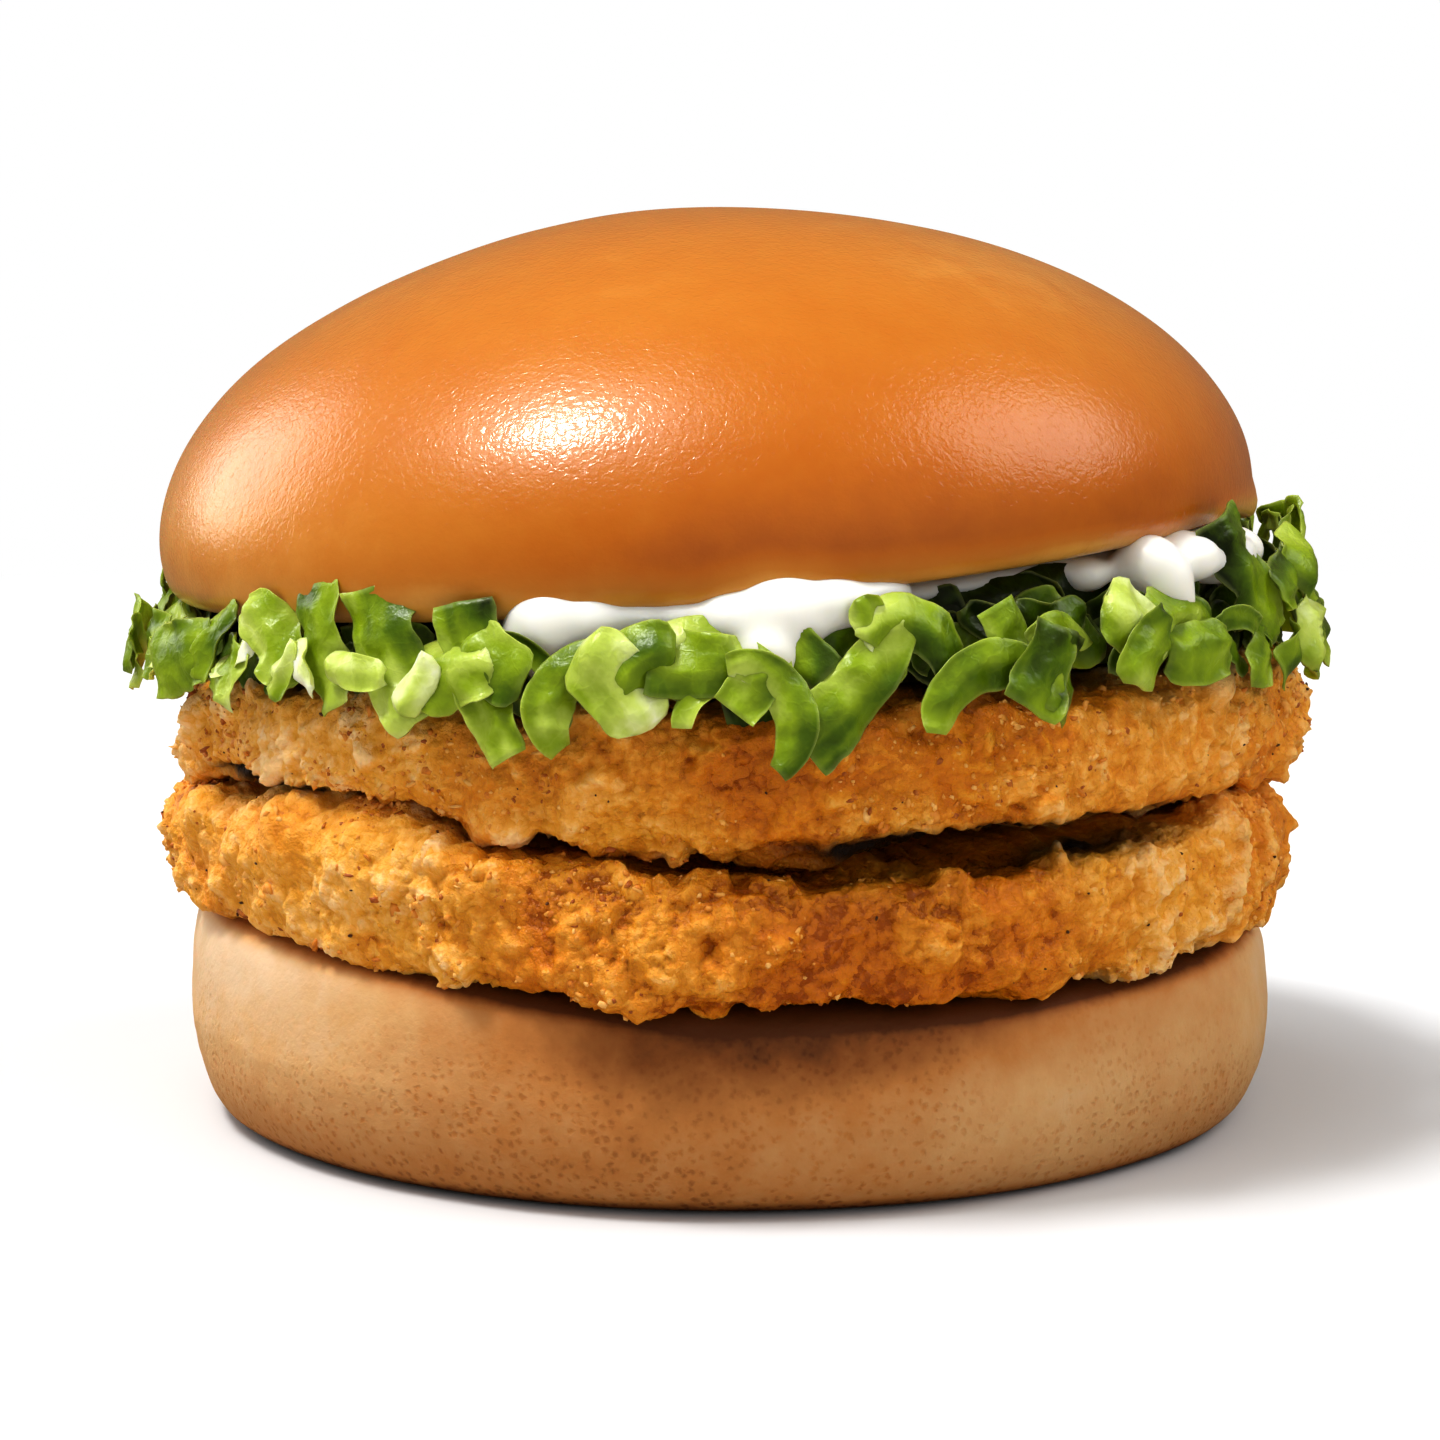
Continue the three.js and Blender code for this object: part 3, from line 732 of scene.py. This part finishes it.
# Each swelling is an egg: the bearing, distance out and height of its middle, then half its size across,
# in and out, and up.
SWELLINGS = [
    (-17.4, 48.6, 50.7, 4.6, 4.6, 3.7),
    (-19.7, 49.6, 48.7, 2.8, 3.2, 3.0),
    (-13.4, 48.3, 51.0, 4.2, 4.2, 3.2),
    (-9.0, 47.8, 51.5, 4.8, 3.8, 1.9),
    (-4.5, 47.8, 51.5, 4.6, 3.8, 1.8),
    (0.6, 48.6, 51.2, 4.4, 4.2, 3.1),
    (5.0, 49.0, 51.7, 5.0, 4.4, 3.7),
    (9.4, 48.6, 52.5, 4.6, 4.0, 2.7),
    (2.9, 50.4, 49.3, 2.9, 3.0, 3.5),
    (3.3, 52.0, 48.4, 2.7, 2.5, 2.7),
    (13.6, 47.8, 53.2, 4.2, 3.4, 1.7),
    (42.0, 45.4, 53.2, 2.6, 2.6, 1.7),
    (46.8, 49.4, 54.0, 2.9, 3.4, 2.8),
    (47.6, 50.6, 52.6, 2.7, 2.8, 3.2),
    (48.2, 51.0, 51.0, 2.2, 2.4, 2.4),
    (53.5, 48.8, 54.2, 4.0, 4.0, 2.4),
    (59.5, 49.4, 53.9, 4.6, 4.0, 2.6),
    (64.5, 49.0, 54.0, 3.6, 3.6, 2.3),
    (120.0, 47.6, 54.8, 4.6, 3.6, 2.2),
    (127.0, 48.8, 54.0, 5.0, 4.4, 3.2),
    (131.0, 50.6, 51.6, 2.6, 2.6, 3.2),
    (135.0, 48.6, 53.0, 4.6, 4.0, 2.7),
    (168.0, 47.8, 51.9, 4.6, 3.8, 2.4),
    (176.0, 48.8, 51.2, 5.4, 4.4, 3.5),
    (174.0, 50.6, 48.8, 2.5, 2.6, 3.0),
    (184.0, 48.2, 51.0, 4.8, 3.8, 2.6),
    (-120.0, 47.8, 48.8, 4.6, 3.8, 2.3),
    (-112.0, 48.8, 48.6, 5.0, 4.2, 3.0),
    (-105.0, 48.2, 48.4, 4.2, 3.6, 2.2),
]
latitude = np.radians(np.linspace(-84, 84, 13))
ball = on_ring(np.arange(24) * 15.0, np.cos(latitude)[:, None], np.sin(latitude)[:, None])
ball_faces = ring_faces(*ball.shape[:2])
ball = np.concatenate([ball.reshape(-1, 3), [(0, 0, -1), (0, 0, 1)]])
eggs = []
for bearing, out, height, wide, deep, high in SWELLINGS:
    turn = np.radians(bearing)
    across = np.array([np.cos(turn), np.sin(turn), 0])
    ahead = np.array([np.sin(turn), -np.cos(turn), 0])
    sized = ball * (wide, deep, high)
    frame_of_egg = np.stack([across, ahead, (0, 0, 1)])
    eggs.append(sized @ frame_of_egg + on_ring(bearing, out, height))
# The film's rim, under the crown: a rounded strip that follows the cut face all the way round.
bearing = np.arange(0, 360, 3.0)
under_crown = np.array([ceiling(b) for b in bearing]) - 0.5
corner = np.radians(np.arange(0, 360, 45))[:, None]
rim_out = 44 + 1.2 * np.cos(np.radians(5 * bearing)) + 3.0 * np.cos(corner)
film = on_ring(bearing, rim_out, under_crown - 0.9 + 1.1 * np.sin(corner))
film_faces = ring_faces(*film.shape[:2])[: film.shape[0] * film.shape[1] - film.shape[1]]
last, first = (np.arange(film.shape[1]) + film.shape[1] * row for row in (film.shape[0] - 1, 0))
film_faces += np.stack([last, np.roll(last, -1), np.roll(first, -1), first], -1).tolist()
all_points = np.concatenate([*eggs, film.reshape(-1, 3)])
all_faces = [[c + n * len(ball) for c in face] for n in range(len(eggs)) for face in ball_faces]
all_faces += [[c + len(eggs) * len(ball) for c in face] for face in film_faces]

sauce = piece("mayonnaise_folds", all_points, all_faces, mayonnaise, "mayonnaise", ["mayonnaise"])
merge = sauce.modifiers.new("merge", "REMESH")
merge.mode = "VOXEL"
merge.voxel_size = 0.5 * MM
relax = sauce.modifiers.new("relax", "SMOOTH")
relax.factor = 0.5
relax.iterations = 14
joined = bpy.data.meshes.new_from_object(sauce.evaluated_get(bpy.context.evaluated_depsgraph_get()))
sauce.modifiers.clear()
sauce.data = joined
height = np.array([v.co.z for v in joined.vertices]) / MM
spot = np.array([v.co for v in joined.vertices]) / MM
across = (np.degrees(np.arctan2(spot[:, 0], -spot[:, 1])) + 360) % 360
roof = np.interp(across, np.append(bearing, 360), np.append(under_crown, under_crown[0]))
# How far below the crown each point hangs sets its painted warm shade.
warm_shade_depth = np.clip((roof - height - 1.5) / 5, 0, 1)
joined.attributes.new("painted_warm_shade", "FLOAT", "POINT").data.foreach_set("value", warm_shade_depth)
joined.shade_smooth()

# ---- The crown ----
# The top half of the bun: a smooth soft dome, brushed with egg before it was baked, so it is glossy and
# orange brown, and pale near its cut edge where the glaze stopped. It sits tilted, its +X side up.
glaze = finish("egg_glazed_crust")
place = add(glaze, "TexCoord").outputs["Object"]
baked = add(glaze, "Attribute", {"attribute_name": "baked"}).outputs["Fac"]
mottle = noise(glaze, place, 4.0, 4, 0.6)
uneven = times_plus(glaze, mottle.outputs["Fac"], 0.2, -0.1)
tone = add(glaze, "Math", {"operation": "ADD"}, i0=baked, i1=uneven.outputs[0])
amber = ramp(
    glaze,
    tone.outputs[0],
    [(0.0, "#EDD09A"), (0.2, "#D8A04C"), (0.45, "#C0781F"), (0.7, "#B66504"), (1.0, "#904200")],
)
peel = noise(glaze, place, 0.8, 3, 0.6)
bump = add(glaze, "Bump", {"Strength": 0.35, "Distance": 0.1 * MM}, Height=peel.outputs["Fac"])
wrinkles = noise(glaze, place, 0.65, 1, Distortion=1.0)
crackled = add(glaze, "Bump", {"Strength": 1.0, "Distance": 0.075 * MM}, Height=wrinkles.outputs["Fac"])
shell = add(
    glaze,
    "BsdfPrincipled",
    {
        "Roughness": 0.42,
        "IOR": 1.5,
        "Specular IOR Level": 0.2,
        "Subsurface Weight": 0.12,
        "Subsurface Scale": 1.5 * MM,
        "Coat Weight": 0.8,
        "Coat Roughness": 0.17,
    },
    Base_Color=amber,
    Normal=bump.outputs[0],
    Coat_Normal=crackled.outputs[0],
)
shaded_by(glaze, shell)

RIM, EDGE = 51.0, 1.3  # radius of the cut face, and how its edge is rounded
WIDE, WIDE_HEIGHT = 51.6, 3.6
DOME, FULLNESS, LEAN = 31.5, 1.91, -2.4
TILT = np.radians(5.2)
CENTRE = (-1.7, 0, 52.4)
bearing = np.arange(360.0)
climb = np.radians(np.linspace(0, 89, 80)[1:])
wall = np.linspace(0, 1, 8)[1:]
wall_out = RIM - EDGE * (1 - np.sin(wall * np.pi / 2)) + (WIDE - RIM) * wall * (2 - wall)
wall_up = WIDE_HEIGHT * wall**1.7
dome_out = WIDE * np.cos(climb) ** (2 / FULLNESS)
dome_up = WIDE_HEIGHT + (DOME - WIDE_HEIGHT) * np.sin(climb) ** (2 / FULLNESS)
profile_out = np.concatenate([[8, 30, 44, RIM - EDGE], wall_out, dome_out])
profile_up = np.concatenate([[0, 0, 0, 0], wall_up, dome_up])
oval = 1 + 0.003 * np.cos(np.radians(2 * bearing - 30))
dome = on_ring(bearing, profile_out[:, None] * oval, profile_up[:, None])
dome[..., 0] += LEAN / DOME * dome[..., 2]
at_rim = np.clip(1 - dome[..., 2] / 2, 0, 1) * (profile_out > 40)[:, None]
torn = np.exp(-(((bearing - 82) / 8) ** 2)) * at_rim
dome += torn[..., None] * (0.8, 0, -1.4)
height = dome[..., 2].copy()
turned = np.array([[np.cos(TILT), 0, -np.sin(TILT)], [0, 1, 0], [np.sin(TILT), 0, np.cos(TILT)]])
dome = dome @ turned.T + CENTRE
crust = np.clip(height / 3, 0, 1)
dome += outward(dome) * ((0.3 * cloud(dome, 24, 31) + 0.05 * cloud(dome, 6, 32) - 0.2) * crust)[..., None]
# The glaze runs nearly to the cut edge. The sides are darker than the top, partly from browning and partly as
# painted shade. Painted light makes them paler towards the left and most of all low on the left, while the
# unglazed edge on the left is darker and the glaze a little paler to the right.
to_right = np.clip(dome[..., 0] / 30, 0, 1)
glazed = np.clip((height + 0.9 * cloud(dome, 7, 33)) / (5.5 - 3.0 * to_right), 0, 1)
glazed = glazed * glazed * (3 - 2 * glazed)
sides = np.clip(1 - (height - 4) / 20, 0, 1) * glazed * (1 - 0.8 * np.clip(-dome[..., 0] / 45, 0, 1))
to_left = np.clip(-dome[..., 0] / 25, 0, 1)
toasted = 0.2 + 0.27 * glazed + 0.38 * sides + 0.07 * cloud(dome, 20, 34) - 0.1 * to_right * glazed
# Painted light: paler low on the left.
painted_light_low_left = np.exp(-(((dome[..., 0] + 42) / 28) ** 2) - ((height - 7) / 8) ** 2)
toasted += 0.16 * to_left * (1 - glazed) - 0.22 * painted_light_low_left
layer_piece("crown_crust", dome, glaze, "glazed_crust", "crown", baked=toasted)

# ---- The table, the light and the camera ----
# A plain white table that fades into a white studio. A weak sun almost overhead is the hard middle of the key
# light. Three soft windows each leave a highlight on the crown, and two wide ones only fill the shadows.
FLOOR = 4000  # mm from the burger to the table's edge


def by_ray(material, ray, usual, special):
    """The usual colour, but the special one for light rays of one kind."""
    settings = {"data_type": "RGBA", 6: linear(usual), 7: linear(special)}
    return add(material, "Mix", settings, i0=ray).outputs[2]


white = finish("white_table")
place = add(white, "TexCoord").outputs["Object"]
far = add(white, "VectorMath", {"operation": "LENGTH"}, i0=place).outputs["Value"]
faded = add(white, "MapRange", {"From Min": 0.16, "From Max": 0.45}, Value=far).outputs[0]
rays = add(white, "LightPath").outputs
lit = by_ray(white, rays["Is Glossy Ray"], "#C4C1BE", "#5A5450")
paper = add(white, "Mix", {"data_type": "RGBA", 7: linear("#D2D3D4")}, i0=rays["Is Camera Ray"], i6=lit)
paper = add(white, "BsdfDiffuse", Color=paper.outputs[2])
sheen = by_ray(white, rays["Is Glossy Ray"], "#FFFFFF", "#9C8068")
studio = add(white, "Emission", Color=sheen)
shaded_by(white, add(white, "MixShader", i0=faded, i1=paper.outputs[0], i2=studio.outputs[0]))
table = bpy.data.meshes.new("table")
corners = [(-FLOOR, -FLOOR, 0), (FLOOR, -FLOOR, 0), (FLOOR, FLOOR, 0), (-FLOOR, FLOOR, 0)]
table.from_pydata((np.array(corners) * MM).tolist(), [], [(0, 1, 2, 3)])
table.materials.append(white)
floor = bpy.data.objects.new("table", table)
bpy.context.collection.objects.link(floor)

KEY = Vector((-0.38, -0.12, 0.92))
sun = bpy.data.objects.new("key", bpy.data.lights.new("key", "SUN"))
sun.data.energy = 2.2
sun.data.angle = np.radians(14)
sun.rotation_mode = "QUATERNION"
sun.rotation_quaternion = KEY.to_track_quat("Z", "Y")
bpy.context.collection.objects.link(sun)

world = bpy.data.worlds.new("studio")
bpy.context.scene.world = world
world.use_nodes = True
world.node_tree.nodes.clear()
add(world, "OutputWorld")
towards = add(world, "TexCoord").outputs["Generated"]
depth = add(world, "SeparateXYZ", Vector=towards).outputs["Y"]


def window(stands, reach, strength):
    """A soft window's light: the way to it, degrees from its middle to its edge, and its strength."""
    facing = {"operation": "DOT_PRODUCT", 1: Vector(stands).normalized()}
    spread = add(world, "VectorMath", facing, i0=towards).outputs["Value"]
    edge = np.cos(np.radians(reach))
    soft = {"interpolation_type": "SMOOTHERSTEP", "From Min": edge, "From Max": 1.0, "To Max": strength}
    return add(world, "MapRange", soft, Value=spread).outputs[0]


def summed(total, *others):
    """The strengths of several lights together."""
    for other in others:
        total = add(world, "Math", {"operation": "ADD"}, i0=total, i1=other).outputs[0]
    return total


rays = add(world, "LightPath").outputs
brighter_behind = {"From Min": -1.0, "From Max": -0.1, "To Min": 0.18, "To Max": 0.36}
walls = add(world, "MapRange", brighter_behind, Value=depth)
fill = summed(window((0.4, -0.9, 0.2), 60, 1.05), window((-0.85, -0.5, 0.2), 45, 0.4))
muted = add(world, "MapRange", {"To Min": 1.0, "To Max": 0.15}, Value=rays["Is Glossy Ray"])
fill = add(world, "Math", {"operation": "MULTIPLY"}, i0=fill, i1=muted.outputs[0])
key_window = window(KEY, 30, 3.2)
left_window = window((-0.78, 0.53, 0.33), 25, 3.6)
right_window = window((0.70, 0.02, 0.71), 26, 3.7)
windows = summed(fill.outputs[0], key_window, left_window, right_window)
windows = add(world, "Background", {"Color": (1, 1, 1, 1)}, Strength=windows)
tint = by_ray(world, rays["Is Glossy Ray"], "#FFFFFF", "#F4D4B6")
room = add(world, "Background", Color=tint, Strength=walls.outputs[0])
glow = add(world, "AddShader", i0=windows.outputs[0], i1=room.outputs[0])
backdrop = add(world, "Background", {"Color": (1, 1, 1, 1), "Strength": 1.0})
seen = add(world, "MixShader", i0=rays["Is Camera Ray"], i1=glow.outputs[0], i2=backdrop.outputs[0])
shaded_by(world, seen)

camera = bpy.data.objects.new("camera", bpy.data.cameras.new("camera"))
camera.data.lens = 106.55
camera.data.sensor_width = 36
camera.data.clip_start = 0.01
camera.location = (-0.00094, -0.400, 0.095)
camera.rotation_euler = (np.radians(81.53), 0, 0)
bpy.context.collection.objects.link(camera)
bpy.context.scene.camera = camera
colour = bpy.context.scene.view_settings
colour.view_transform = "Standard"
colour.gamma = 0.8
